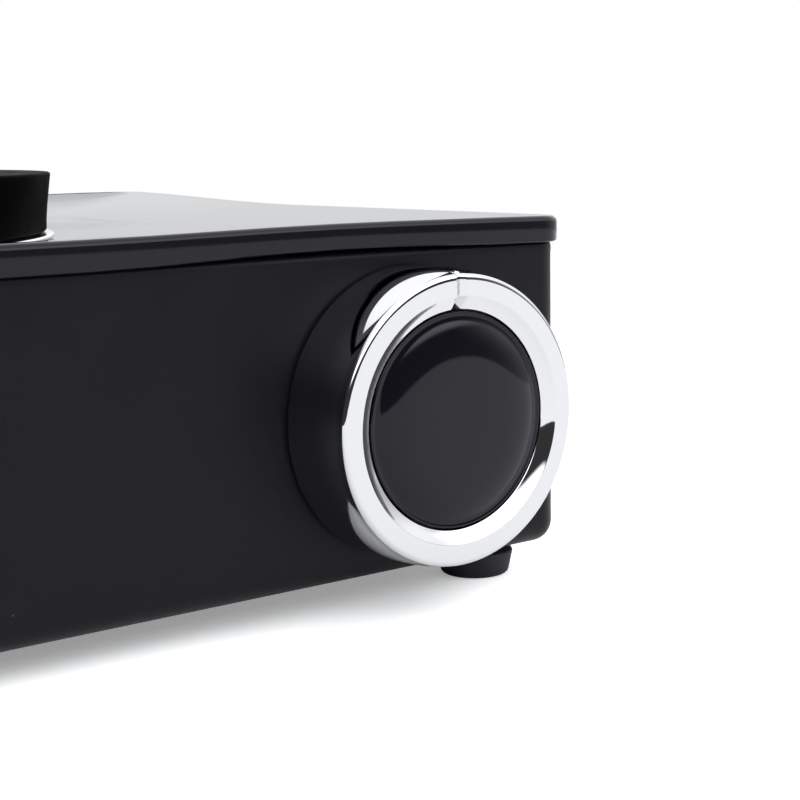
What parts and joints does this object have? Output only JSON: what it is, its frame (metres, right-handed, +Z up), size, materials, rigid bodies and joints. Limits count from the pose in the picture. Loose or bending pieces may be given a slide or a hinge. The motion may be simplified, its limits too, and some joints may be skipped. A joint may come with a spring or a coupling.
{
  "type": "hot plate burner",
  "caption": "Low rectangular electric hot plate with a round cast-iron heating plate in a dished gloss-black top and a chrome-ringed control knob on the right of the front.",
  "frame": {"origin": "on the standing surface, at the bottom centre of the whole appliance's box, knob and cord gland included", "axes": "+X to the right along the front (the longest way), +Y from the knob's face to the back, +Z up (the shortest way)"},
  "size_m": [0.2812, 0.179, 0.0744],
  "materials": {
    "satin_black": "satin black enamel on pressed steel",
    "gloss_black": "high-gloss black enamel",
    "cast_iron": "matte black seasoned cast iron",
    "chrome": "mirror chrome plating",
    "polished_steel": "polished stainless steel",
    "zinc_steel": "zinc-plated steel",
    "reflector": "bright rolled aluminium",
    "brass": "bright brass",
    "rubber": "matte black rubber",
    "black_plastic": "fine matt moulded plastic",
    "gloss_plastic": "polished black plastic",
    "ceramic": "unglazed white steatite",
    "mica": "pressed mica board",
    "lamp_amber": "clear amber plastic",
    "wire_brown": "brown silicone insulation",
    "wire_blue": "blue silicone insulation",
    "wire_green": "green silicone insulation"
  },
  "bodies": {
    "housing": {"body_shell": "satin_black", "top_panel": "gloss_black", "panel_gasket": "rubber", "base_plate": "zinc_steel", "foot_front_left": "rubber", "foot_front_right": "rubber", "foot_back_left": "rubber", "foot_back_right": "rubber", "foot_screw_front_left": "zinc_steel", "foot_screw_front_right": "zinc_steel", "foot_screw_back_left": "zinc_steel", "foot_screw_back_right": "zinc_steel", "heating_plate": "cast_iron", "trim_ring": "polished_steel", "heating_element": "zinc_steel", "insulation_pad": "mica", "element_cover": "zinc_steel", "heat_reflector": "reflector", "clamp_bridge": "zinc_steel", "clamp_washer": "zinc_steel", "clamp_nut": "zinc_steel", "base_nut": "zinc_steel", "centre_stud": "zinc_steel", "thermal_cutout": "ceramic", "arm_pivot_pin": "zinc_steel", "regulator_case": "black_plastic", "regulator_cover": "ceramic", "regulator_bracket": "zinc_steel", "spindle_bush": "brass", "regulator_screw_left": "zinc_steel", "regulator_screw_right": "zinc_steel", "regulator_tab_left": "brass", "regulator_tab_right": "brass", "lamp_lens": "lamp_amber", "lamp_retainer": "zinc_steel", "lamp_holder": "black_plastic", "cord_gland": "black_plastic", "gland_nut": "black_plastic", "terminal_block": "ceramic", "earth_screw": "brass", "wire_line": "wire_brown", "wire_regulated": "wire_brown", "wire_cutout_to_element": "wire_brown", "wire_neutral": "wire_blue", "wire_lamp_live": "wire_brown", "wire_lamp_neutral": "wire_blue", "wire_earth": "wire_green"},
    "knob": {"knob_sleeve": "chrome", "knob_cap": "gloss_plastic", "knob_core": "black_plastic", "knob_spring": "zinc_steel", "regulator_spindle": "brass", "regulator_cam": "black_plastic"},
    "regulator_arm": {"follower_arm": "zinc_steel"}
  },
  "joints": [
    {"name": "knob_turn", "type": "hinge", "parent": "housing", "child": "knob", "pos_m": [0.104, -0.07455, 0.0337], "axis": [0, 1, 0], "range_deg": [0, 300]},
    {"name": "arm_swing", "type": "hinge", "parent": "housing", "child": "regulator_arm", "pos_m": [0.0955, -0.06455, 0.0227], "axis": [0, 1, 0], "range_deg": [0, 8.4]}
  ],
  "couplings": [
    {"joint": "arm_swing", "follows": "knob_turn", "ratio": 0.0277}
  ]
}
